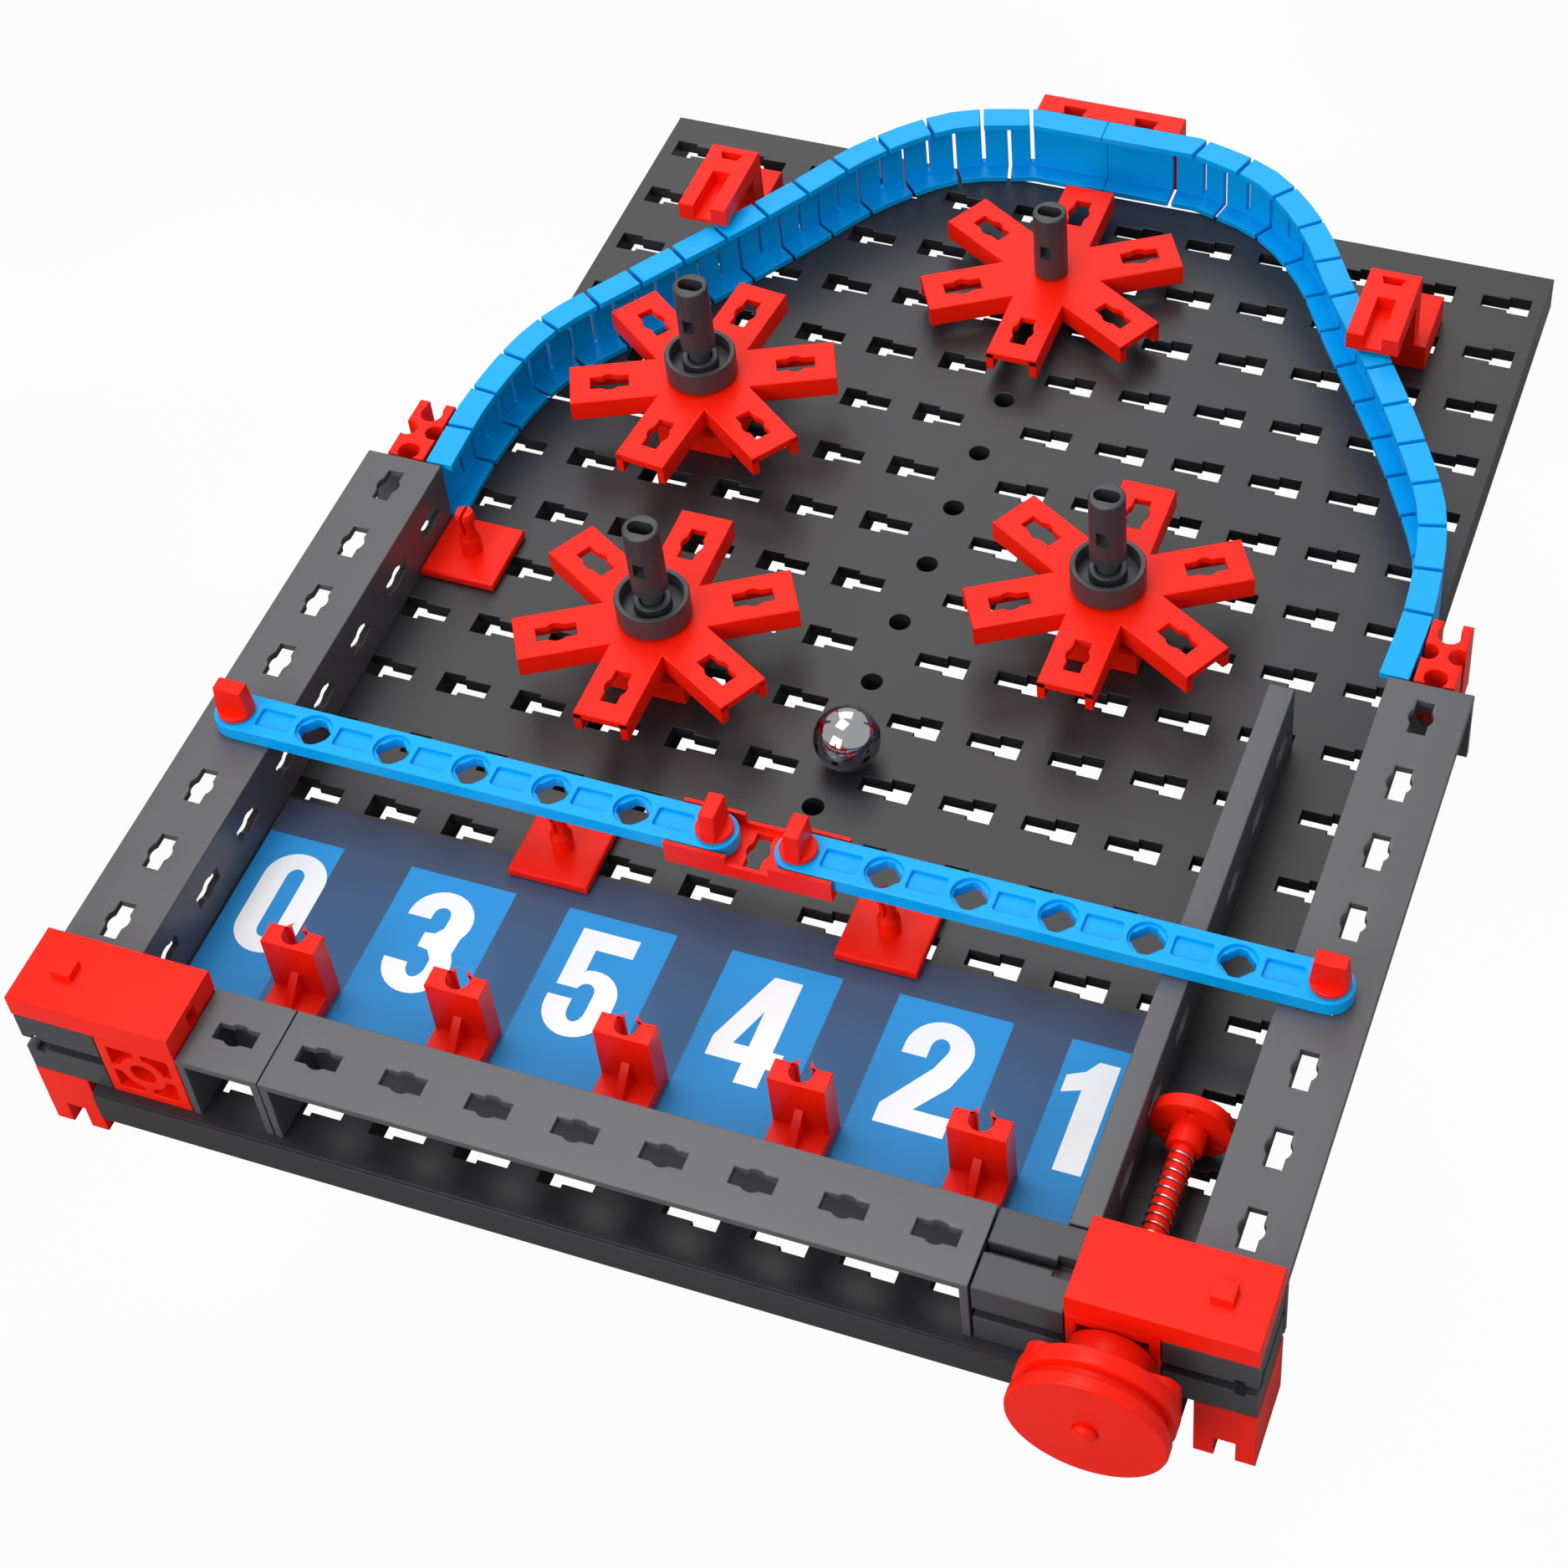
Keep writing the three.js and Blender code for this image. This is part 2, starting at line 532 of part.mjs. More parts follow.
// ---- cross strut -------------------------------------------------------------------------
// Two seven-hole struts with sunk panels between raised rims, end to end across the board.
function strutBody(side) {
  const { halfWidth, thickness, hole, y } = strut;
  const [x0, x1] = side > 0 ? [7.5, 97.5] : [-97.5, -7.5];
  const outline = new THREE.Shape();
  outline.absarc(x1, y, halfWidth, -Math.PI / 2, Math.PI / 2, false);
  outline.absarc(x0, y, halfWidth, Math.PI / 2, 1.5 * Math.PI, false);
  const [z0, z1] = [15.05, 15.05 + thickness];
  const cuts = [];
  for (let n = 0; n < 7; n += 1) {
    const x = x0 + n * grid;
    if (n > 0 && n < 6) cuts.push(upright(circle(x, y, hole), z0 - 1, z1 + 1, 5));
    else cuts.push(upright(circle(x, y, 2.05), z0 - 1, z1 + 1, 4));
    if (n < 6) cuts.push(block(x + 4.1, x + grid - 4.1, y - 2.3, y + 2.3, z1 - 0.8, z1 + 1));
  }
  return cut(upright(outline, z0, z1, 5), ...cuts);
}
add('left_strut', strutBody(-1), blue());
add('right_strut', strutBody(1), blue());

// The red channel under the inner ends.
function strutConnector() {
  const { y } = strut;
  const floor = block(-15, 15, y - 5.1, y + 5.1, 13.2, 14.95);
  const lips = [];
  for (const side of [-1, 1]) {
    const edge = [y + side * 4.4, y + side * 5.1].sort((a, b) => a - b);
    lips.push(block(-15, -3.8, ...edge, 13.2, 18), block(3.8, 15, ...edge, 13.2, 18));
    lips.push(block(-4, 4, ...edge, 13.2, 16));
  }
  const holes = [upright(keyholeAcross(0, y), 12, 16), upright(circle(-7.5, y, 2.05), 12, 16, 4),
    upright(circle(7.5, y, 2.05), 12, 16, 4)];
  return cut(join(floor, ...lips), ...holes);
}
add('strut_connector', strutConnector(), red());

// Quarter-turn pins: a round head with a standing grip, and a stub down through the strut.
function strutPin(x, gripAcross) {
  const { y } = strut;
  const head = turned([[0, 13.8], [1.9, 13.8], [1.9, 18.15], [3.3, 18.15], [3.3, 19.2], [0, 19.2]], x, y);
  const grip = polygon([[-3.3, 19], [3.3, 19], [2.6, 24.6], [-2.6, 24.6]]);
  const wing = gripAcross ? polygon(grip.getPoints().map((p) => [p.x + y, p.y]))
    : polygon(grip.getPoints().map((p) => [p.x + x, p.y]));
  return join(head, gripAcross ? alongX(wing, x - 1.5, x + 1.5) : alongY(wing, y - 1.5, y + 1.5));
}
add('left_outer_pin', strutPin(-97.5, false), red());
add('left_inner_pin', strutPin(-7.5, true), red());
add('right_inner_pin', strutPin(7.5, true), red());
add('right_outer_pin', strutPin(97.5, false), red());

// ---- obstacle pegs and pocket posts ------------------------------------------------------
// A 15 mm tile with a snap pin: a split collar, a thin neck and a split head.
function pegTile(x, y, z0) {
  const z1 = z0 + 2;
  const tile = block(x - 7.4, x + 7.4, y - 7.4, y + 7.4, z0, z1);
  const pin = turned([[0, z1 - 0.5], [2, z1 - 0.5], [2, z1 + 4.9], [1.4, z1 + 4.9], [1.4, z1 + 8],
    [1.8, z1 + 8.6], [1.8, z1 + 10.2], [0, z1 + 10.2]], x, y, 12);
  return cut(join(tile, pin), block(x - 0.3, x + 0.3, y - 3, y + 3, z1 + 0.4, z1 + 11));
}
add('left_peg', pegTile(-82.4, 0, 0.05), red());
add('front_left_peg', pegTile(-37.5, strut.y, 0.35), red());
add('front_right_peg', pegTile(22.5, strut.y, 0.35), red());

// Angle brackets between the pockets: an upright with a round groove down its back, a foot and
// a gusset.
function pocketPost(xc) {
  const [x0, x1] = [xc - 4.9, xc + 4.9];
  const side = polygon([[-112.2, 0.35], [-97.9, 0.35], [-97.9, 15.3], [-101.9, 15.3], [-101.9, 3.4],
    [-112.2, 3.4]]);
  const gusset = polygon([[-101.8, 3.3], [-101.8, 8.6], [-107.5, 3.3]]);
  return cut(join(alongX(side, x0, x1), alongX(gusset, xc - 0.8, xc + 0.8)),
    upright(circle(xc, -99.1, 2.05), 3.4, 16, 4), block(xc - 1.45, xc + 1.45, -99.1, -97, 3.4, 16));
}
for (let n = 0; n < 5; n += 1) {
  add(`pocket_post_${n + 1}`, pocketPost(-67.4 + n * 2 * grid), red());
}

// ---- ball --------------------------------------------------------------------------------
add('ball', solid(new THREE.SphereGeometry(ballRadius, 14, 10).rotateX(Math.PI / 2)
  .translate(2.5, -26, ballRadius + 0.05)), steel());

export default game;
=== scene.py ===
import math

import bmesh
import bpy
from mathutils import Matrix, Vector


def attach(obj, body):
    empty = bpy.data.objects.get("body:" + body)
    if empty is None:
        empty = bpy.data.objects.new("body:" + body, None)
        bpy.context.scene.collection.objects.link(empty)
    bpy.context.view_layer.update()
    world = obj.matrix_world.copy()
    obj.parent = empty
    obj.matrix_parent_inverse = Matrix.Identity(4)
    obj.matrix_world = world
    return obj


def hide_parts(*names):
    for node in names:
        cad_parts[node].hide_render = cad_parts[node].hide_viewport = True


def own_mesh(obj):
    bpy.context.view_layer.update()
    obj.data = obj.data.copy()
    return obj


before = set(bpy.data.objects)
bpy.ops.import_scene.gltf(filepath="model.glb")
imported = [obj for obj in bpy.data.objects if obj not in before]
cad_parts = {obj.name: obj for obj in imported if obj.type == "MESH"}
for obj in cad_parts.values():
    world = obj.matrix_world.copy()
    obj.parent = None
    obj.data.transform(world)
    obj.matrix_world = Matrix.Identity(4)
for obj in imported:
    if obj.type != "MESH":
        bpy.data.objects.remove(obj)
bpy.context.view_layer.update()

# ---- camera ----
# A long lens, high over the right front corner and tilted a little, looking down the board.
azimuth, elevation, roll = 0.434, 0.859, -0.107
reach = math.cos(elevation)
back = Vector((math.sin(azimuth) * reach, -math.cos(azimuth) * reach, math.sin(elevation)))
level = Vector((0, 0, 1)).cross(back).normalized()
upright = back.cross(level)
right = level * math.cos(roll) + upright * math.sin(roll)
up = upright * math.cos(roll) - level * math.sin(roll)
camera = bpy.data.objects.new("camera", bpy.data.cameras.new("camera"))
bpy.context.collection.objects.link(camera)
turn = Matrix((right, up, back)).transposed().to_4x4()
camera.matrix_world = Matrix.Translation((0.15891, -0.35875, 0.44392)) @ turn
camera.data.lens = 75.15
camera.data.sensor_width = 36
camera.data.shift_x = -0.0443
camera.data.shift_y = -0.0572
camera.data.clip_start = 0.01
bpy.context.scene.camera = camera

# ---- table and light ----
# A plain white table seen through the slots of the board, under a white tent with large soft
# lamps overhead, behind and in front on the left.


def linear(code):
    channels = [int(code[i : i + 2], 16) / 255 for i in (1, 3, 5)]
    return [c / 12.92 if c <= 0.04045 else ((c + 0.055) / 1.055) ** 2.4 for c in channels] + [1]


def node(material, kind, settings={}, inputs={}, links=()):
    """Adds one node to a material, sets it up and joins its inputs to other nodes' outputs."""
    made = material.node_tree.nodes.new(kind)
    for key, value in settings.items():
        setattr(made, key, value)
    for key, value in inputs.items():
        made.inputs[key].default_value = value
    for key, source in links:
        material.node_tree.links.new(source, made.inputs[key])
    return made


def new_material(name):
    material = bpy.data.materials.new(name)
    material.use_nodes = True
    material.node_tree.nodes.clear()
    return material


def blend(material, factor, first, second):
    """Mixes two colours by another node's output."""
    tint = node(material, "ShaderNodeMix", {"data_type": "RGBA"}, links=[(0, factor)])
    tint.inputs[6].default_value = linear(first)
    tint.inputs[7].default_value = linear(second)
    return tint.outputs[2]


def white_table():
    # Matt white laminate: faint mottling, no gloss. It is evenly white to the eye and throws
    # little light up into the slots, so their walls stay dark.
    material = new_material("white_laminate")
    place = node(material, "ShaderNodeTexCoord")
    mottle = node(
        material,
        "ShaderNodeTexNoise",
        inputs={"Scale": 9.0},
        links=[("Vector", place.outputs["Object"])],
    )
    tint = blend(material, mottle.outputs["Fac"], "#F4F4F4", "#FAFAFA")
    glow = node(
        material, "ShaderNodeEmission", inputs={"Strength": 1.05}, links=[("Color", tint)]
    )
    dull = node(material, "ShaderNodeBsdfDiffuse", inputs={"Color": (0.3, 0.3, 0.3, 1)})
    seen = node(material, "ShaderNodeLightPath")
    either = node(
        material,
        "ShaderNodeMixShader",
        links=[(0, seen.outputs["Is Camera Ray"]), (1, dull.outputs[0]), (2, glow.outputs[0])],
    )
    node(material, "ShaderNodeOutputMaterial", links=[("Surface", either.outputs[0])])
    return material


table_mesh = bpy.data.meshes.new("table")
table_half, table_height = 6, -0.0151
table_corners = [
    (table_half * u, table_half * v, table_height) for u, v in [(-1, -1), (1, -1), (1, 1), (-1, 1)]
]
table_mesh.from_pydata(table_corners, [], [(0, 1, 2, 3)])
table_top = bpy.data.objects.new("table", table_mesh)
table_top.data.materials.append(white_table())
bpy.context.collection.objects.link(table_top)

world = bpy.data.worlds.new("tent")
world.use_nodes = True
world.node_tree.nodes["Background"].inputs["Color"].default_value = (1, 1, 1, 1)
world.node_tree.nodes["Background"].inputs["Strength"].default_value = 0.6
bpy.context.scene.world = world
for lamp_name, where, width, power in [
    ("lamp_top", (-0.25, 0.1, 1.1), 0.6, 5.0),
    ("lamp_back", (-0.35, 0.95, 0.9), 0.8, 3.0),
    ("lamp_front", (-0.35, -0.95, 0.55), 0.7, 7.0),
]:
    lamp = bpy.data.lights.new(lamp_name, "AREA")
    lamp.size = width
    lamp.energy = power
    holder = bpy.data.objects.new(lamp_name, lamp)
    holder.location = where
    holder.rotation_euler = (-Vector(where)).to_track_quat("-Z", "Y").to_euler()
    bpy.context.collection.objects.link(holder)
bpy.context.scene.view_settings.view_transform = "Standard"

# ---- base plate ---- One large moulding in charcoal ABS: a thin sheet with rows of stepped
# slots, a middle column of round holes, a deep rim, and a rib under every column of slots.
pitch = 15


def moulded_abs(name, shade, light, roughness, shine=0.35, grain=0.35, depth=0.02):
    # Injection-moulded ABS: an even colour with slow flow marks, a soft gloss that varies a
    # little, and a very fine spark-eroded grain, drawn coarser than life so that it shows.
    material = new_material(name)
    place = node(material, "ShaderNodeTexCoord")
    flow = node(
        material,
        "ShaderNodeTexNoise",
        inputs={"Scale": 1 / 0.014, "Detail": 3.0, "Roughness": 0.6},
        links=[("Vector", place.outputs["Object"])],
    )
    tint = blend(material, flow.outputs["Fac"], shade, light)
    fine = node(
        material,
        "ShaderNodeTexNoise",
        inputs={"Scale": 1000 / grain, "Detail": 2.0},
        links=[("Vector", place.outputs["Object"])],
    )
    gloss = node(
        material,
        "ShaderNodeMapRange",
        inputs={"To Min": roughness - 0.06, "To Max": roughness + 0.06},
        links=[("Value", flow.outputs["Fac"])],
    )
    relief = node(
        material,
        "ShaderNodeBump",
        inputs={"Strength": 0.35, "Distance": depth / 1000},
        links=[("Height", fine.outputs["Fac"])],
    )
    shader = node(
        material,
        "ShaderNodeBsdfPrincipled",
        inputs={"IOR": 1.53, "Specular IOR Level": shine},
        links=[
            ("Base Color", tint),
            ("Roughness", gloss.outputs[0]),
            ("Normal", relief.outputs[0]),
        ],
    )
    node(material, "ShaderNodeOutputMaterial", links=[("Surface", shader.outputs[0])])
    return material


def rectangle(x0, x1, y0, y1):
    return [(x0, y0), (x1, y0), (x1, y1), (x0, y1)]


def between(one, other):
    return min(one, other), max(one, other)


def round_hole(x, y, radius, steps=20):
    angles = [2 * math.pi * n / steps for n in range(steps)]
    return [(x + radius * math.cos(a), y + radius * math.sin(a)) for a in angles]


def moulding(outline, holes, low, high, soft=0.2, along="z"):
    """A flat piece in millimetres from its outline and holes, with softened edges. It is drawn
    in X and Y and runs from low to high along Z, or is turned to run along Y or X."""
    curve = bpy.data.curves.new("outline", "CURVE")
    curve.dimensions = "2D"
    curve.fill_mode = "BOTH"
    for loop in [outline] + list(holes):
        spline = curve.splines.new("POLY")
        spline.points.add(len(loop) - 1)
        for point, (u, v) in zip(spline.points, loop):
            point.co = (u, v, 0, 1)
        spline.use_cyclic_u = True
    curve.bevel_depth = soft
    curve.offset = -soft
    curve.bevel_resolution = 1
    curve.extrude = (high - low) / 2 - soft
    holder = bpy.data.objects.new("outline", curve)
    mesh = bpy.data.meshes.new_from_object(holder)
    bpy.data.objects.remove(holder)
    bpy.data.curves.remove(curve)
    middle = (low + high) / 2
    if along == "z":
        mesh.transform(Matrix.Translation((0, 0, middle)))
    elif along == "y":
        mesh.transform(Matrix(((1, 0, 0, 0), (0, 0, -1, middle), (0, 1, 0, 0), (0, 0, 0, 1))))
    else:
        mesh.transform(Matrix(((0, 0, 1, middle), (1, 0, 0, 0), (0, 1, 0, 0), (0, 0, 0, 1))))
    return mesh


def assemble(name, meshes, material, body, nodes, sharp=50):
    """Joins meshes drawn in millimetres into one piece that stands for CAD nodes."""
    whole = bmesh.new()
    for mesh in meshes:
        whole.from_mesh(mesh)
        bpy.data.meshes.remove(mesh)
    bmesh.ops.remove_doubles(whole, verts=whole.verts, dist=0.0005)
    bmesh.ops.scale(whole, vec=(0.001, 0.001, 0.001), verts=whole.verts)
    data = bpy.data.meshes.new(name)
    whole.to_mesh(data)
    whole.free()
    data.polygons.foreach_set("use_smooth", [True] * len(data.polygons))
    data.set_sharp_from_angle(angle=math.radians(sharp))
    data.materials.append(material)
    piece = bpy.data.objects.new(name, data)
    bpy.context.collection.objects.link(piece)
    shading = piece.modifiers.new("even_faces", "WEIGHTED_NORMAL")
    shading.keep_sharp = True
    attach(piece, body)
    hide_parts(*nodes)
    return piece


def board_sheet():
    slots = []
    for row in range(-8, 9):
        for column in range(6):
            for side in (-1, 1):
                slots.append(
                    [
                        (side * (pitch * column + u), pitch * row + v)
                        for u, v in [
                            (6.05, -1.55),
                            (11.3, -1.55),
                            (11.3, -2.3),
                            (15.5, -2.3),
                            (15.5, 2.3),
                            (11.3, 2.3),
                            (11.3, 1.55),
                            (6.05, 1.55),
                        ]
                    ]
                )
    holes = [round_hole(0, pitch * row + 7.5, 1.95) for row in range(-8, 8)]
    return moulding(rectangle(-93.2, 93.2, -129.1, 129.55), slots + holes, -2.8, 0, 0.16)


charcoal = moulded_abs("charcoal_abs", "#232225", "#2A292C", 0.4, 0.5, depth=0.03)
board_parts = [
    board_sheet(),
    moulding(
        rectangle(-93.17, 93.17, -129.5, 129.58),
        [rectangle(-91.6, 91.6, -127.5, 128)],
        -7.5,
        -0.42,
        0.2,
    ),
    moulding(
        rectangle(-3.2, 3.2, -128, 129),
        [round_hole(0, pitch * row + 7.5, 2.05) for row in range(-8, 8)],
        -6.5,
        -2.6,
        0.15,
    ),
]
for column in range(6):
    for side in (-1, 1):
        edge = side * (15.6 + pitch * column)
        outline = rectangle(*between(edge, edge + side), -128, 129)
        board_parts.append(moulding(outline, [], -6.5, -2.6, 0.1))
assemble("board", board_parts, charcoal, "board", ["base_plate"])

# ---- number card ----
# Printed card laid in front of the strut, slate blue at its far edge and brighter near the
# player, with a lighter patch and a white figure for each pocket.


def printed_card(name, far, near):
    # Offset print on matt card: the colour runs from far to near edge over a fine paper tooth.
    material = new_material(name)
    place = node(material, "ShaderNodeTexCoord")
    axes = node(material, "ShaderNodeSeparateXYZ", links=[("Vector", place.outputs["Object"])])
    run = node(
        material,
        "ShaderNodeMapRange",
        inputs={"From Min": -0.112, "From Max": -0.063, "To Min": 1.0, "To Max": 0.0},
        links=[("Value", axes.outputs["Y"])],
    )
    tint = blend(material, run.outputs[0], far, near)
    tooth = node(
        material,
        "ShaderNodeTexNoise",
        inputs={"Scale": 1000 / 0.3, "Detail": 3.0},
        links=[("Vector", place.outputs["Object"])],
    )
    relief = node(
        material,
        "ShaderNodeBump",
        inputs={"Strength": 0.3, "Distance": 0.00002},
        links=[("Height", tooth.outputs["Fac"])],
    )
    shader = node(
        material,
        "ShaderNodeBsdfPrincipled",
        inputs={"Roughness": 0.62},
        links=[("Base Color", tint), ("Normal", relief.outputs[0])],
    )
    node(material, "ShaderNodeOutputMaterial", links=[("Surface", shader.outputs[0])])
    return material


ground_ink = printed_card("card_ground_ink", "#363D57", "#1669A2")
patch_ink = printed_card("card_patch_ink", "#0891DA", "#0A80C4")
figure_ink = printed_card("card_figure_ink", "#E9EDF2", "#FFFFFF")
assemble(
    "card_ground",
    [moulding(rectangle(-89.7, 70.8, -112.2, -63), [], 0.02, 0.26, 0.03)],
    ground_ink,
    "board",
    ["number_card"],
)
patches = [(-89.5, -75), (-62, -42), (-32, -12), (-2, 18), (28, 48), (58, 70.6)]
assemble(
    "card_patches",
    [moulding(rectangle(a, b, -112, -70.6), [], 0.24, 0.28, 0.01) for a, b in patches],
    patch_ink,
    "board",
    [],
)


def bend(x, y, wide, high, start, end, steps=16):
    """Part of an oval about (x, y), from start to end in degrees."""
    angles = [math.radians(start + (end - start) * n / steps) for n in range(steps + 1)]
    return [(x + wide * math.cos(a), y + high * math.sin(a)) for a in angles]


# Narrow heavy figures, 12 wide and 21.6 high: each is one outline, with the holes in it.
round_end = bend(6, 16, 5.8, 5.6, 0, 180) + bend(6, 5.6, 5.8, 5.6, 180, 360)
round_hollow = bend(6, 16.4, 1.6, 1.9, 0, 180) + bend(6, 5.2, 1.6, 1.9, 180, 360)
three = bend(6, 15.9, 5.9, 5.7, 175, -30) + bend(6, 6.1, 6.0, 6.1, 35, -180)
three += bend(6.1, 6.0, 1.7, 2.6, 180, 360) + [(7.8, 7.6), (6.6, 9.3), (4.6, 9.6), (4.6, 12.6)]
three += [(6.4, 12.8), (7.5, 14.2)] + bend(6, 16.4, 1.6, 1.9, 0, 180, 8)
three += [(4.4, 15.4), (0.1, 15.4)]
five = [(0.7, 21.6), (0.7, 9.6), (4.5, 9.6)] + bend(6.1, 9.2, 1.6, 1.8, 150, 0, 8)
five += bend(6.1, 5.4, 1.6, 2.3, 0, -180, 8) + [(4.5, 7.4), (0.1, 7.4)]
five += bend(6, 5.9, 5.9, 5.9, 180, 360) + bend(6.6, 8.5, 5.3, 5.3, 0, 118, 10)
five += [(4.5, 13.1), (4.5, 17.8), (11.2, 17.8), (11.2, 21.6)]
four = [(6.2, 0), (10.4, 0), (10.4, 3.9), (12.4, 3.9), (12.4, 7.3), (10.4, 7.3), (10.4, 21.6)]
four += [(5.4, 21.6), (-0.3, 7.8), (-0.3, 3.9), (6.2, 3.9)]
four_hollow = [(3.4, 7.3), (6.2, 7.3), (6.2, 14.6)]
two = [(0, 0), (12, 0), (12, 3.9), (5.6, 3.9), (10.0, 9.6)] + bend(6, 15.8, 5.9, 5.8, -28, 180)
two += [(0.1, 14.0), (4.4, 14.0)] + bend(6, 16.4, 1.6, 1.9, 180, -20, 10) + [(6.2, 12.4), (0, 3.6)]
one = [(4.4, 0), (9.2, 0), (9.2, 21.6), (5.7, 21.6), (4.0, 19.2), (1.2, 17.8), (1.2, 14.4)]
one += [(4.4, 15.6)]
figure_parts = []
for middle, outline, holes in [
    (-80.6, round_end, [round_hollow]),
    (-52.4, three, []),
    (-22.6, five, []),
    (7.6, four, [four_hollow]),
    (38, two, []),
    (64, one, []),
]:
    placed = [[(middle - 6 + u, -95.4 + v) for u, v in loop] for loop in [outline] + holes]
    figure_parts.append(moulding(placed[0], placed[1:], 0.25, 0.295, 0.01))
assemble("card_figures", figure_parts, figure_ink, "board", [])


def keyhole(x, y, across=False, length=7.3, width=3.0, radius=2.1):
    lean = math.asin(width / 2 / radius)
    steps = 8
    loop = [(length / 2, -width / 2), (length / 2, width / 2)]
    for n in range(steps + 1):
        a = lean + (math.pi - 2 * lean) * n / steps
        loop.append((radius * math.cos(a), radius * math.sin(a)))
    loop += [(-length / 2, width / 2), (-length / 2, -width / 2)]
    for n in range(steps + 1):
        a = math.pi + lean + (math.pi - 2 * lean) * n / steps
        loop.append((radius * math.cos(a), radius * math.sin(a)))
    return [(x - v, y + u) if across else (x + u, y + v) for u, v in loop]


def angle_girder(length):
    long = length - 0.2
    middles = [pitch * n + 7.4 for n in range(length // pitch)]
    top_holes = [keyhole(7.5, m, across=True) for m in middles]
    side_holes = [keyhole(m, 7.5) for m in middles]
    end_hole = [round_hole(7.5, 7.5, 2.0)]
    face = rectangle(0.02, 14.98, 0, 14.7)
    return [
        moulding(rectangle(0, 15, 0, long), top_holes, 13.4, 15, 0.22),
        moulding(rectangle(0.04, long - 0.04, 0, 14.7), side_holes, -0.02, 1.5, 0.2, "x"),
        moulding(face, end_hole, -0.02, 1.5, 0.2, "y"),
        moulding(face, end_hole, long - 1.5, long + 0.02, 0.2, "y"),
    ]


girder_grey = moulded_abs("girder_grey_abs", "#47464A", "#4F4E53", 0.4, 0.6, depth=0.03)
for name, length, angle, x, y in [
    ("right_girder", 120, 0, 90, -112.4),
    ("left_girder", 120, math.pi, -90, 7.4),
    ("front_girder", 120, -math.pi / 2, -59.9, -112.5),
    ("front_short_girder", 15, -math.pi / 2, -74.9, -112.5),
]:
    girder_parts = angle_girder(length)
    for mesh in girder_parts:
        mesh.transform(Matrix.Translation((x, y, 0)) @ Matrix.Rotation(angle, 4, "Z"))
    assemble(name + "_skin", girder_parts, girder_grey, "board", [name])

divider_holes = [keyhole(-7.5 - pitch * n, 7.5) for n in range(7)]
assemble(
    "lane_wall",
    [
        moulding(rectangle(71, 75.6, -112.3, 0), [], 13.5, 15, 0.25),
        moulding(rectangle(-112.26, -0.04, 0, 14.7), divider_holes, 74.2, 75.62, 0.2, "x"),
        moulding(rectangle(71.03, 75.57, 0, 14.7), [], -112.32, -110.9, 0.2, "y"),
        moulding(rectangle(71.03, 75.57, 0, 14.7), [], -1.4, 0.02, 0.2, "y"),
    ],
    girder_grey,
    "board",
    ["lane_divider"],
)

# ---- corner blocks, caps and feet ----
# Solid 15 mm kit blocks with T-grooves, dark or red, keyed together. Their edges have the small
# radius of a worn mould, and they share one front and one back.
corner_front, corner_back = -127.5, -112.7


def soften(name, material, width=0.22):
    """A copy of a fixed CAD node with rounded edges, standing in for the node."""
    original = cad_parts[name]
    data = original.data.copy()
    data.transform(original.matrix_world)
    data.materials.clear()
    data.materials.append(material)
    data.polygons.foreach_set("material_index", [0] * len(data.polygons))
    piece = bpy.data.objects.new(name + "_skin", data)
    bpy.context.collection.objects.link(piece)
    weld = piece.modifiers.new("close_seams", "WELD")
    weld.merge_threshold = 0.000002
    flat = piece.modifiers.new("whole_faces", "DECIMATE")
    flat.decimate_type = "DISSOLVE"
    flat.angle_limit = math.radians(1)
    edge = piece.modifiers.new("edge_radius", "BEVEL")
    edge.width = width / 1000
    edge.segments = 2
    edge.limit_method = "ANGLE"
    edge.angle_limit = math.radians(32)
    edge.use_clamp_overlap = True
    shading = piece.modifiers.new("even_faces", "WEIGHTED_NORMAL")
    shading.keep_sharp = True
    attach(piece, "board")
    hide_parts(name)


signal_red = moulded_abs("signal_red_abs", "#ED1804", "#F61E06", 0.34, 0.16)
graphite = moulded_abs("graphite_abs", "#333437", "#3B3C40", 0.42, 0.5)
for name in ["left_corner_block", "right_corner_block", "launcher_side_block", "rear_foot"]:
    soften(name, graphite)


def carve(mesh, *cutters):
    """Cuts meshes out of another."""
    holder = bpy.data.objects.new("stock", mesh)
    bpy.context.collection.objects.link(holder)
    tools = [bpy.data.objects.new("tool", cutter) for cutter in cutters]
    for tool in tools:
        bpy.context.collection.objects.link(tool)
        cut = holder.modifiers.new("cut", "BOOLEAN")
        cut.object = tool
        cut.solver = "EXACT"
    bpy.context.view_layer.update()
    depsgraph = bpy.context.evaluated_depsgraph_get()
    done = bpy.data.meshes.new_from_object(holder.evaluated_get(depsgraph))
    for unused in [holder] + tools:
        bpy.data.objects.remove(unused)
    return done


def prism(outline, low, high):
    """A plain upright solid with sharp edges, used as a cutter."""
    whole = bmesh.new()
    floor = [whole.verts.new((u, v, low)) for u, v in outline]
    roof = [whole.verts.new((u, v, high)) for u, v in outline]
    whole.faces.new(floor[::-1])
    whole.faces.new(roof)
    for n in range(len(outline)):
        m = (n + 1) % len(outline)
        whole.faces.new([floor[n], floor[m], roof[m], roof[n]])
    mesh = bpy.data.meshes.new("prism")
    whole.to_mesh(mesh)
    whole.free()
    return mesh


def merged(mesh):
    """Joins a mesh's coincident points, so that it is closed and can be cut."""
    whole = bmesh.new()
    whole.from_mesh(mesh)
    bmesh.ops.remove_doubles(whole, verts=whole.verts, dist=0.0005)
    whole.to_mesh(mesh)
    whole.free()
    return mesh


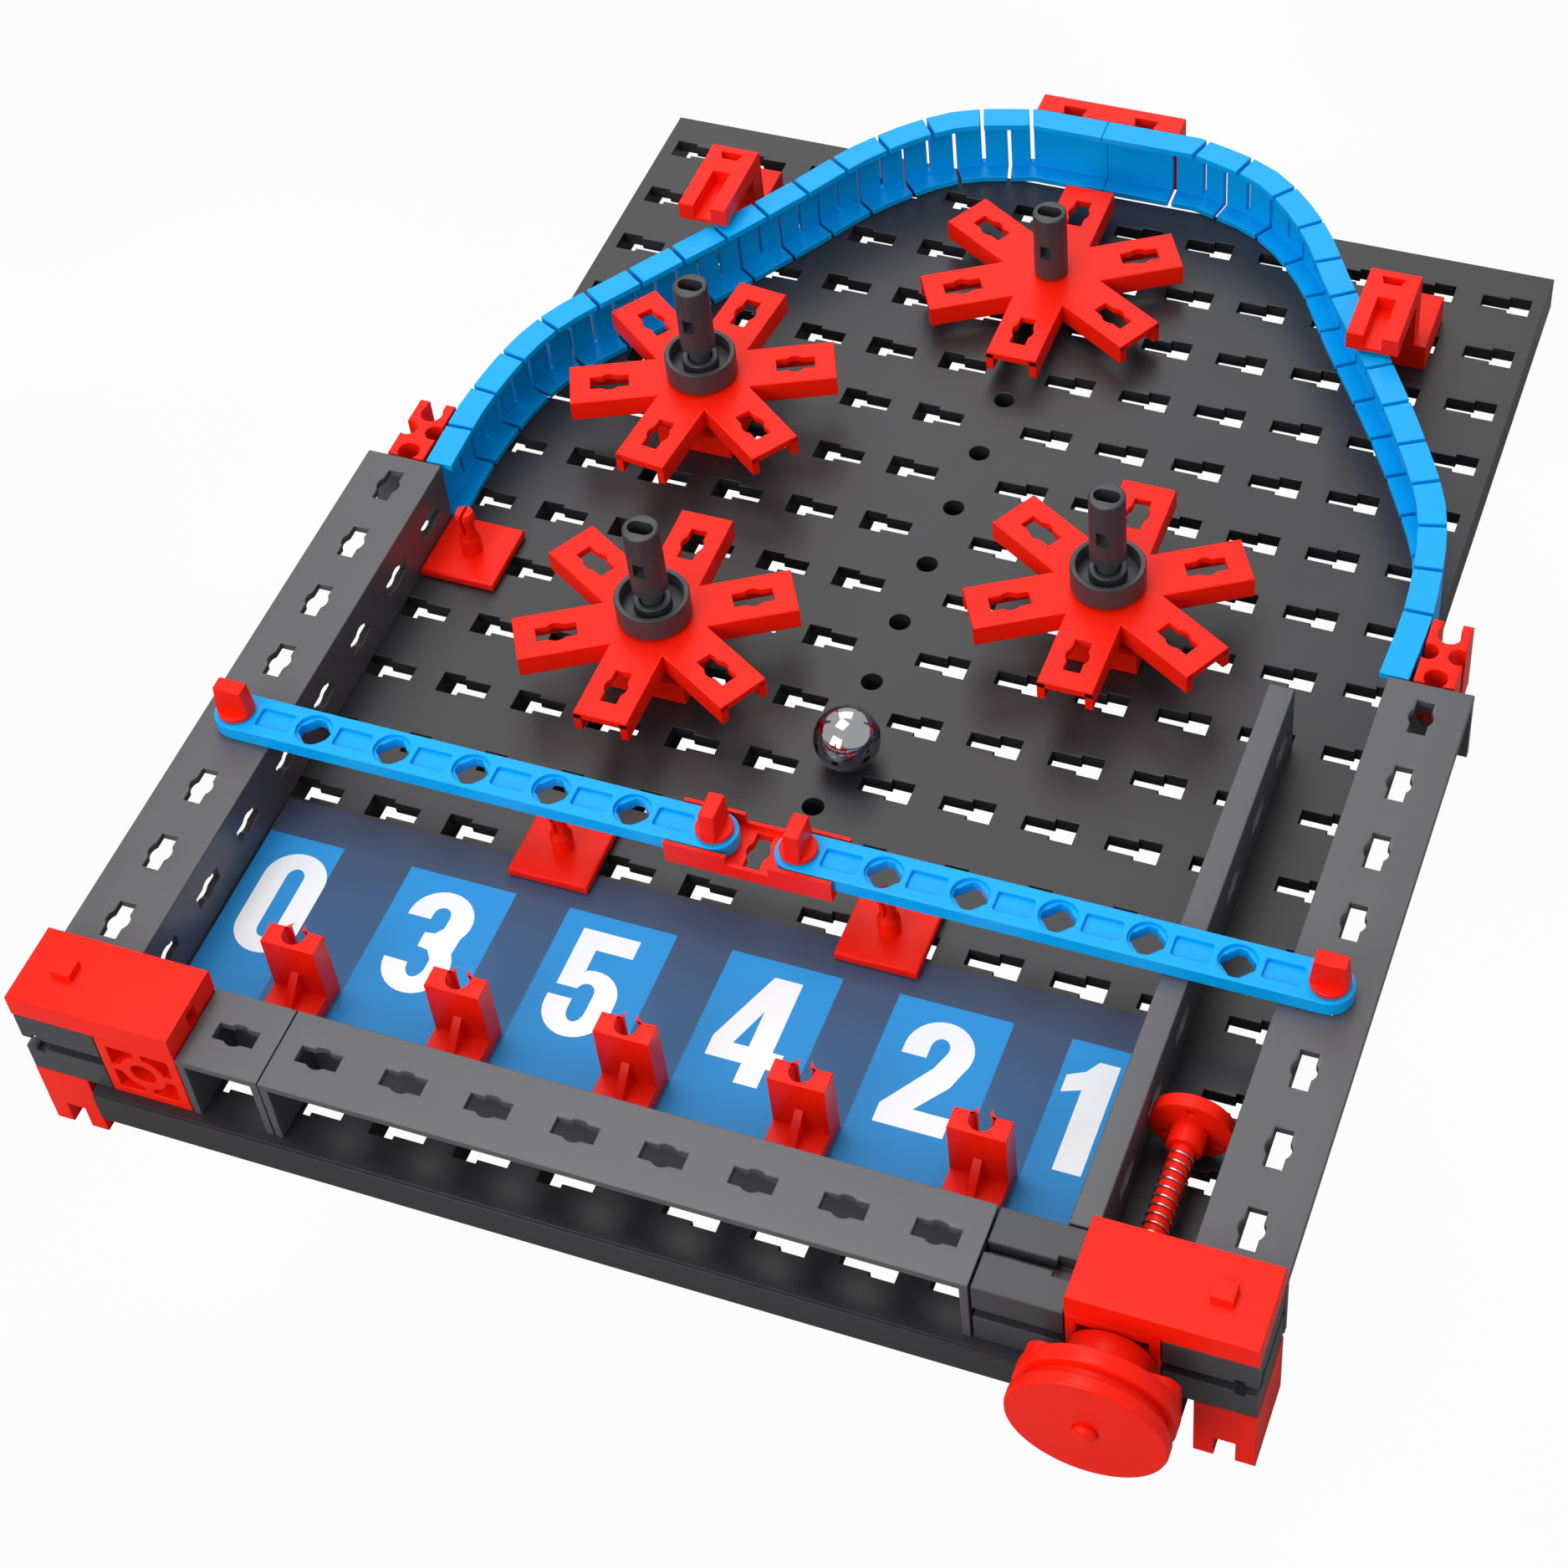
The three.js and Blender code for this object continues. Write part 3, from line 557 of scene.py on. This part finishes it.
for name, side in [("left_corner_cap", -1), ("right_corner_cap", 1)]:
    plan = rectangle(*between(side * 75.1, side * 105), corner_front, corner_back)
    body = merged(moulding(plan, [], 15.05, 20, 0.28))
    mouth = prism(rectangle(*between(side * 74, side * 76.7), -121.3, -118.7), 14, 18.6)
    chamber = prism(rectangle(*between(side * 76.5, side * 78.3), -122.2, -117.8), 14, 18.6)
    plan = rectangle(*between(side * 95.7, side * 99.3), -121.7, -118.3)
    stud = moulding(plan, [], 19.8, 21.6, 0.25)
    cap_parts = [carve(body, mouth, chamber), stud]
    assemble(name + "_skin", cap_parts, signal_red, "board", [name], 30)
for name, x0, x1 in [("front_left_foot", -105, -95.1), ("front_right_foot", 95.1, 105)]:
    xc = (x0 + x1) / 2
    fork = [(x0, -15), (xc - 1.7, -15), (xc - 1.7, -9.8), (xc + 1.7, -9.8), (xc + 1.7, -15)]
    fork += [(x1, -15), (x1, -0.06), (x0, -0.06)]
    leg = moulding(fork, [], corner_front, corner_back, 0.22, "y")
    assemble(name + "_skin", [leg], signal_red, "board", [name])

# Red blocks with an open front: a ring held by four webs inside a frame. The right one guides
# the plunger.


def lattice_block(x0):
    xc = x0 + 7.5
    pockets = []
    for du, dv in [(1, 1), (-1, 1), (-1, -1), (1, -1)]:
        angles = [math.radians(79 - 68 * n / 6) for n in range(7)]
        loop = [(4.2 * math.cos(a), 4.2 * math.sin(a)) for a in angles]
        loop += [(5.6, 0.8), (5.6, 5.6), (0.8, 5.6)]
        pockets.append([(xc + du * u, 7.5 + dv * v) for u, v in loop])
    face = rectangle(x0 + 0.1, x0 + 14.9, 0.05, 14.95)
    core = rectangle(x0 + 0.14, x0 + 14.86, 0.09, 14.91)
    bore = round_hole(xc, 7.5, 2.3, 24)
    return [
        moulding(face, pockets + [bore], corner_front, -123.2, 0.2, "y"),
        moulding(core, [bore], -123.7, corner_back, 0.2, "y"),
    ]


for name, replaced, x0 in [
    ("left_lattice", "left_lattice_block", -90),
    ("plunger_lattice", "launcher_guide", 75),
]:
    assemble(name, lattice_block(x0), signal_red, "board", [replaced])

# ---- launcher ----
# A red rod with a striking disc slides in the guide block. A nut and a grooved hand wheel sit on
# its outer end, and a wire spring round the rod returns it. All are centred on one axis.
axis_x, axis_z = 82.5, 7.5


def turned(profile, segments=40):
    """A profile of (radius, height) pairs turned about Z, closed where the radius is zero."""
    whole = bmesh.new()
    rings = []
    for radius, height in profile:
        if radius < 1e-6:
            rings.append([whole.verts.new((0, 0, height))])
            continue
        rings.append(
            [
                whole.verts.new((radius * math.cos(a), radius * math.sin(a), height))
                for a in [2 * math.pi * n / segments for n in range(segments)]
            ]
        )
    for low, high in zip(rings, rings[1:]):
        for n in range(segments):
            m = (n + 1) % segments
            corners = [low[n % len(low)], low[m % len(low)]]
            corners += [high[m % len(high)], high[n % len(high)]]
            kept = [v for k, v in enumerate(corners) if v not in corners[:k]]
            if len(kept) > 2:
                whole.faces.new(kept)
    bmesh.ops.recalc_face_normals(whole, faces=whole.faces)
    mesh = bpy.data.meshes.new("turned")
    whole.to_mesh(mesh)
    whole.free()
    return mesh


def on_rod(mesh):
    # Heights along the profile become places along Y on the plunger's axis.
    mesh.transform(Matrix(((1, 0, 0, axis_x), (0, 0, 1, 0), (0, -1, 0, axis_z), (0, 0, 0, 1))))
    return mesh


disc_holes = [
    round_hole(axis_x + 4.8 * math.cos(a), axis_z + 4.8 * math.sin(a), 0.75, 12)
    for a in [math.pi / 2 + 2 * math.pi * n / 3 for n in range(3)]
]
assemble(
    "striker",
    [
        on_rod(
            turned(
                [
                    (0, -142.4), (1.1, -142.3), (1.8, -141.9), (2, -141.4), (2, -90.3),
                    (2.9, -90.2), (3, -90), (3, -86), (3.2, -84.6), (0, -84.6),
                ]
            )
        ),
        moulding(round_hole(axis_x, axis_z, 6.9, 48), disc_holes, -86.4, -84.0, 0.3, "y"),
    ],
    signal_red,
    "plunger",
    ["plunger_rod"],
)
assemble(
    "hand_wheel",
    [
        on_rod(
            turned(
                [
                    (2.1, -141.1), (12.2, -141.1), (12.6, -140.95), (12.8, -140.5),
                    (12.8, -139.1), (12.6, -138.8), (11.3, -138.6), (11.2, -138.4),
                    (11.2, -137.4), (11.3, -137.2),
                    (12.6, -137), (12.8, -136.7), (12.8, -134.5), (12.6, -134.15), (12.2, -134),
                    (2.1, -134), (2.1, -141.1),
                ],
                64,
            )
        )
    ],
    signal_red,
    "plunger",
    ["plunger_knob"],
)


def rounded_rectangle(x0, x1, y0, y1, radius, steps=6):
    loop = []
    centres = [(x1 - radius, y1 - radius), (x0 + radius, y1 - radius)]
    centres += [(x0 + radius, y0 + radius), (x1 - radius, y0 + radius)]
    for start, (cx, cy) in enumerate(centres):
        for n in range(steps + 1):
            a = math.pi / 2 * (start + n / steps)
            loop.append((cx + radius * math.cos(a), cy + radius * math.sin(a)))
    return loop


rod_hole = round_hole(axis_x, axis_z, 2.1, 24)
cross_plate = rounded_rectangle(70.5, 94.5, 2.3, 12.7, 2.6)
assemble(
    "hub_nut",
    [
        moulding(cross_plate, [rod_hole], -133.8, -131.4, 0.3, "y"),
        moulding(round_hole(axis_x, axis_z, 6.9, 48), [rod_hole], -131.6, -127.8, 0.3, "y"),
    ],
    signal_red,
    "plunger",
    ["plunger_hub_nut"],
)


def drawn_wire():
    # Bright drawn spring steel: mirror-like with fine marks along the wire.
    material = new_material("drawn_spring_steel")
    place = node(material, "ShaderNodeTexCoord")
    marks = node(
        material,
        "ShaderNodeTexNoise",
        inputs={"Scale": 1000 / 0.4, "Detail": 4.0},
        links=[("Vector", place.outputs["Object"])],
    )
    gloss = node(
        material,
        "ShaderNodeMapRange",
        inputs={"To Min": 0.16, "To Max": 0.34},
        links=[("Value", marks.outputs["Fac"])],
    )
    shader = node(
        material,
        "ShaderNodeBsdfPrincipled",
        inputs={"Base Color": linear("#C9CCD0"), "Metallic": 1.0},
        links=[("Roughness", gloss.outputs[0])],
    )
    node(material, "ShaderNodeOutputMaterial", links=[("Surface", shader.outputs[0])])
    return material


coil = bpy.data.curves.new("coil_path", "CURVE")
coil.dimensions = "3D"
coil.bevel_depth = 0.17
coil.bevel_resolution = 3
coil.use_fill_caps = True
path = coil.splines.new("POLY")
turns, per_turn, coil_from, coil_to = 13, 28, -112.3, -90.7
path.points.add(turns * per_turn)
for n, point in enumerate(path.points):
    a = 2 * math.pi * n / per_turn
    y = coil_from + (coil_to - coil_from) * n / (turns * per_turn)
    point.co = (axis_x + 2.2 * math.cos(a), y, axis_z + 2.2 * math.sin(a), 1)
coil_holder = bpy.data.objects.new("coil", coil)
coil_mesh = bpy.data.meshes.new_from_object(coil_holder)
bpy.data.objects.remove(coil_holder)
spring = assemble(
    "return_spring", [coil_mesh], drawn_wire(), "board", ["plunger_spring"]
)
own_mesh(spring)

# ---- spinners ----
# Six-armed red stars, hollow below, that turn freely. Three stand on a tile with a boss, under
# a dark ring and a dark hollow shaft; the back one turns on a shaft set straight in the board.


def star(x, y, top, turn):
    reach, half, wall, depth, skin = 25.4, 5.05, 1.4, 4.5, 1.6
    outline, flanges, holes = [], [], [round_hole(0, 0, 2.3, 24)]
    for n in range(6):
        a = math.radians(60 * n + 30)
        b = math.radians(60 * n + 90)
        ca, sa, cb, sb = math.cos(a), math.sin(a), math.cos(b), math.sin(b)
        m = (a + b) / 2
        outline.append((ca * reach + sa * half, sa * reach - ca * half))
        outline.append((ca * reach - sa * half, sa * reach + ca * half))
        outline.append((2 * half * math.cos(m), 2 * half * math.sin(m)))
        thin = half - wall
        edge = half + 0.02
        flanges.append(
            [
                (ca * reach - sa * edge, sa * reach + ca * edge),
                (2 * edge * math.cos(m), 2 * edge * math.sin(m)),
                (cb * reach + sb * edge, sb * reach - cb * edge),
                (cb * reach + sb * thin, sb * reach - cb * thin),
                (2 * thin * math.cos(m), 2 * thin * math.sin(m)),
                (ca * reach - sa * thin, sa * reach + ca * thin),
            ]
        )
        hole = keyhole(17.8, 0)
        holes.append([(u * ca - v * sa, u * sa + v * ca) for u, v in hole])
    meshes = [moulding(outline, holes, -skin, 0, 0.22)]
    meshes += [moulding(flange, [], -depth, -0.24, 0.2) for flange in flanges]
    bore = round_hole(0, 0, 2.3, 24)
    meshes.append(moulding(round_hole(0, 0, 4.4, 32), [bore], -depth, -0.5, 0.2))
    placed = Matrix.Translation((x, y, top)) @ Matrix.Rotation(math.radians(turn), 4, "Z")
    for mesh in meshes:
        mesh.transform(placed)
    return meshes


def hollow_shaft(x, y, low, high, collar):
    """A tube with an oblong bore at its top and a window through its side, on a thin stub."""
    tube = turned(
        [(0, low), (3.1, low), (3.3, low + 0.2), (3.3, high - 0.3), (3.0, high), (0, high)]
    )
    bore = [
        (math.copysign(1.0, math.cos(a)) + 1.45 * math.cos(a), 1.45 * math.sin(a))
        for a in [math.pi * (n + 0.5) / 10 for n in range(20)]
    ]
    window = prism(rectangle(-1.1, 1.1, -5, 5), low + 5.4, low + 8.6)
    tube = carve(tube, prism(bore, high - 10, high + 1), window)
    meshes = [tube, turned(collar)]
    for mesh in meshes:
        mesh.transform(Matrix.Translation((x, y, 0)))
    return meshes


for name, x, y, top, turn in [
    ("left", -37.5, -15, 14.2, 0),
    ("upper", -52.5, 45, 14.2, -6),
    ("right", 37.5, 15, 14.2, 0),
    ("back", 0, 97.5, 7.2, 0),
]:
    body = name + "_spinner"
    star_parts = star(x, y, top, turn)
    assemble(name + "_spinner_star", star_parts, signal_red, body, [name + "_star"])
    raised = name != "back"
    low = top + 7.3 if raised else top + 0.3
    if raised:
        collar = [(0, 9.6), (1.9, 9.6), (2, 9.8), (2, low + 0.1)]
    else:
        collar = [(0, -4), (1.5, -4), (1.8, -3.7), (1.8, 0.1), (3.2, 0.1), (3.4, 0.3)]
        collar += [(3.4, 2.2), (3.2, 2.4), (2, 2.4), (2, low + 0.1)]
    assemble(
        name + "_spinner_shaft",
        hollow_shaft(x, y, low, low + 15, collar),
        graphite,
        "board",
        [name + "_shaft"],
    )
    if not raised:
        continue
    ring_mesh = turned(
        [
            (2.2, 14.5), (6.5, 14.5), (6.8, 14.8), (6.8, 19.2), (6.6, 19.5), (5.9, 19.5),
            (5.7, 19.3), (5.7, 16.5), (3.5, 16.5), (3.5, 18.5), (3.3, 18.7), (2.4, 18.7),
            (2.2, 18.5), (2.2, 14.5),
        ],
        48,
    )
    ring_mesh.transform(Matrix.Translation((x, y, 0)))
    assemble(
        name + "_spinner_ring", [ring_mesh], graphite, "board", [name + "_ring"]
    )
    boss = turned([(0, 2.4), (4.6, 2.4), (4.2, 2.9), (4.2, 9.1), (3.9, 9.4), (0, 9.4)])
    boss.transform(Matrix.Translation((x, y, 0)))
    tile = rectangle(x - 7.45, x + 7.45, y - 7.45, y + 7.45)
    opening = rectangle(x - 6, x + 6, y - 6, y + 6)
    assemble(
        name + "_spinner_tile",
        [
            moulding(tile, [], 0.05, 2.7, 0.25),
            moulding(tile, [opening], 2.3, 4.8, 0.2),
            boss,
        ],
        signal_red,
        "board",
        [name + "_spinner_base"],
    )

# ---- rails ----
# Two bright blue flexible rails of C section, slit from above and below in turn so that they
# bend round the back of the board, with the red blocks and clamps that hold them.
bright_blue = moulded_abs("bright_blue_abs", "#00A0EA", "#00A9F5", 0.32, 0.18)
for name in ["left_rail", "right_rail"]:
    soften(name, bright_blue, 0.14)
soften("rail_joiner", signal_red)
for name, arm, foot in [("left_rail_clamp", -72.4, -72.7), ("right_rail_clamp", 62.6, 65.2)]:
    top = merged(moulding(rectangle(arm, arm + 10, 83, 101.7), [], 16, 20, 0.28))
    slot = prism(rectangle(arm + 3.2, arm + 6.8, 82, 94), 17, 21)
    dovetail = [(arm + 2.6, 99.9), (arm + 3.4, 97.9), (arm + 6.6, 97.9), (arm + 7.4, 99.9)]
    notch = prism(dovetail, 18, 21)
    clamp_parts = [
        carve(top, slot, notch),
        moulding(rectangle(arm + 0.03, arm + 9.97, 97.7, 101.67), [], 5.6, 16.5, 0.2),
        moulding(rectangle(foot, foot + 9.8, 97.5, 112.4), [], 0.05, 6, 0.25),
    ]
    assemble(name + "_skin", clamp_parts, signal_red, "board", [name], 30)


def arc(x, y, radius, start, end, steps=10):
    return bend(x, y, radius, radius, start, end, steps)


for name, x0, x1 in [("left_rail_end_block", -101.3, -94.0), ("right_rail_end_block", 94.2, 101.4)]:
    y0, y1, xc = 7.8, 22.5, (x0 + x1) / 2
    outline = [(x0, y0)] + arc(xc, y0 + 1.5, 2.05, 227, -47) + [(x1, y0)]
    outline += arc(x1 - 0.9, y0 + 7.2, 1.8, -60, -300) + [(x1, y1), (xc + 1.7, y1)]
    outline += arc(xc, y1 - 2.9, 2.1, 36, -216) + [(xc - 1.7, y1), (x0, y1)]
    outline += arc(x0 + 0.9, y0 + 7.2, 1.8, 120, -120)
    block = moulding(outline, [], 0.05, 15, 0.22)
    assemble(name + "_skin", [block], signal_red, "board", [name])

# ---- cross struts ----
# Two blue seven-hole struts end to end over a red channel, each hole sunk and a shallow panel
# between holes, fixed with four red quarter-turn pins along one line across the board.
strut_y = -60


def strut(side):
    x0, x1 = (7.5, 97.5) if side > 0 else (-97.5, -7.5)
    angles = [math.pi * (n / 12 - 0.5) for n in range(13)]
    outline = [(x1 + 4.1 * math.cos(a), strut_y + 4.1 * math.sin(a)) for a in angles]
    outline += [(x0 - 4.1 * math.cos(a), strut_y - 4.1 * math.sin(a)) for a in angles]
    inner = [x0 + pitch * n for n in range(1, 6)]
    end_holes = [round_hole(x, strut_y, 2.0) for x in (x0, x1)]
    through = list(end_holes)
    for x in inner:
        lobes = [(2.95 if n % 6 in (0, 1, 5) else 2.5, math.pi * n / 12) for n in range(24)]
        through.append([(x + r * math.cos(a), strut_y + r * math.sin(a)) for r, a in lobes])
    sunk = [round_hole(x, strut_y, 3.3, 24) for x in inner] + end_holes
    for n in range(6):
        start = x0 + pitch * n
        panel = (start + 4.3, start + 10.7, strut_y - 2, strut_y + 2)
        sunk.append(rounded_rectangle(*panel, 0.5, 3))
    return [
        moulding(outline, through, 15.05, 17.3, 0.2),
        moulding(outline, sunk, 17.0, 18.05, 0.15),
    ]


assemble("left_cross_strut", strut(-1), bright_blue, "board", ["left_strut"])
assemble("right_cross_strut", strut(1), bright_blue, "board", ["right_strut"])
soften("strut_connector", signal_red, 0.15)
for name, x, across in [
    ("left_outer_pin", -97.5, False),
    ("left_inner_pin", -7.5, True),
    ("right_inner_pin", 7.5, True),
    ("right_outer_pin", 97.5, False),
]:
    head_profile = [(0, 13.8), (1.7, 13.8), (1.9, 14), (1.9, 18.15), (3.1, 18.15)]
    head_profile += [(3.3, 18.35), (3.3, 19), (3.1, 19.2), (0, 19.2)]
    head = turned(head_profile, 32)
    head.transform(Matrix.Translation((x, strut_y, 0)))
    middle = strut_y if across else x
    grip = [(middle - 3.25, 18.9), (middle + 3.25, 18.9)]
    grip += [(middle + 2.6, 24.6), (middle - 2.6, 24.6)]
    low, high = (x - 1.5, x + 1.5) if across else (strut_y - 1.5, strut_y + 1.5)
    wing = moulding(grip, [], low, high, 0.35, "x" if across else "y")
    assemble(name + "_skin", [head, wing], signal_red, "board", [name])

# ---- pegs and pocket posts ----
# Red tiles with a split snap pin stand in the ball's way, and five angle brackets part the
# pockets at the front.
for name, x, y, low in [
    ("left_peg", -82.4, 0, 0.05),
    ("front_left_peg", -37.5, -60, 0.35),
    ("front_right_peg", 22.5, -60, 0.35),
]:
    top = low + 2
    pin = turned(
        [
            (0, top - 0.5), (2, top - 0.5), (2, top + 3.2), (1.75, top + 3.8),
            (1.4, top + 4.2), (1.4, top + 8), (1.85, top + 8.5), (1.85, top + 9.5),
            (1.5, top + 10.2), (0, top + 10.2),
        ],
        28,
    )
    pin = carve(pin, prism(rectangle(-0.32, 0.32, -4, 4), top + 4.8, top + 12))
    pin.transform(Matrix.Translation((x, y, 0)))
    tile = moulding(rectangle(x - 7.4, x + 7.4, y - 7.4, y + 7.4), [], low, top, 0.45)
    assemble(name + "_skin", [tile, pin], signal_red, "board", [name])
for number in range(5):
    xc = -67.4 + 2 * pitch * number
    x0, x1 = xc - 4.9, xc + 4.9
    groove = arc(xc, -99.1, 2.05, 54, -234, 14)
    upright = [(x0, -101.9), (x1, -101.9), (x1, -97.9), (xc + 1.25, -97.9)] + groove
    post_parts = [
        moulding(upright + [(xc - 1.25, -97.9), (x0, -97.9)], [], 3.0, 15.3, 0.2),
        moulding(rectangle(x0, x1, -112.2, -97.9), [], 0.35, 3.4, 0.25),
        moulding([(-101.6, 3.2), (-101.6, 8.6), (-107.5, 3.2)], [], xc - 0.8, xc + 0.8, 0.12, "x"),
    ]
    name = f"pocket_post_{number + 1}"
    assemble(name + "_skin", post_parts, signal_red, "board", [name])

# ---- ball ----
# A polished bearing ball with faint rolling marks.


def polished_steel():
    # Ground and polished bearing steel: a mirror with faint fine scratches.
    material = new_material("polished_bearing_steel")
    place = node(material, "ShaderNodeTexCoord")
    stretch = node(
        material,
        "ShaderNodeMapping",
        inputs={"Scale": (1.0, 7.0, 1.0)},
        links=[("Vector", place.outputs["Object"])],
    )
    marks = node(
        material,
        "ShaderNodeTexNoise",
        inputs={"Scale": 1000 / 1.2, "Detail": 6.0},
        links=[("Vector", stretch.outputs[0])],
    )
    gloss = node(
        material,
        "ShaderNodeMapRange",
        inputs={"To Min": 0.05, "To Max": 0.14},
        links=[("Value", marks.outputs["Fac"])],
    )
    shader = node(
        material,
        "ShaderNodeBsdfPrincipled",
        inputs={"Base Color": linear("#BFC1C4"), "Metallic": 1.0},
        links=[("Roughness", gloss.outputs[0])],
    )
    node(material, "ShaderNodeOutputMaterial", links=[("Surface", shader.outputs[0])])
    return material


ball_radius = 6
ball_profile = [
    (ball_radius * math.sin(a), -ball_radius * math.cos(a))
    for a in [math.pi * n / 32 for n in range(33)]
]
ball_mesh = turned(ball_profile, 64)
ball_mesh.transform(Matrix.Translation((2.5, -26, 6.05)))
assemble("steel_ball", [ball_mesh], polished_steel(), "ball", ["ball"], 180)
